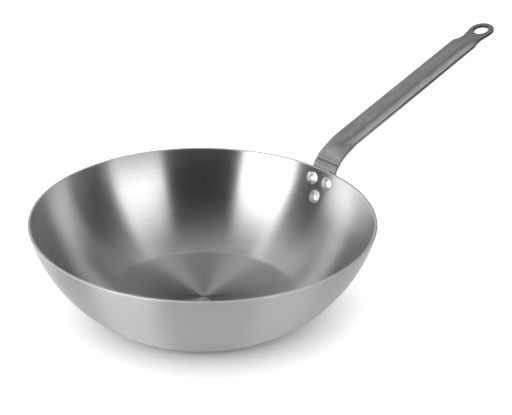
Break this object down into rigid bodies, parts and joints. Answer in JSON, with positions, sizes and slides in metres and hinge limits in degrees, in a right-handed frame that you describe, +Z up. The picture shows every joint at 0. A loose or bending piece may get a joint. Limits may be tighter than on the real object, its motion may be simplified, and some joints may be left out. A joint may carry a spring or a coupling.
{
  "type": "wok",
  "caption": "Round flat-based steel wok with a deep curved bowl and a long riveted strap handle that ends in a hanging eye, for frying and tossing food over a burner.",
  "frame": {"origin": "centre of the flat base's underside", "axes": "+Z up along the bowl's axis, +X from the bowl's middle along the handle"},
  "size_m": [0.5843, 0.32, 0.2001],
  "materials": {
    "bowl_steel": "spun and brushed in rings",
    "handle_steel": "blasted, matt dark grey",
    "rivet_steel": "bright, hammered heads"
  },
  "bodies": {
    "root": {"bowl": "bowl_steel", "handle": "handle_steel", "rivet_upper_left": "rivet_steel", "rivet_upper_right": "rivet_steel", "rivet_lower": "rivet_steel"}
  },
  "joints": []
}
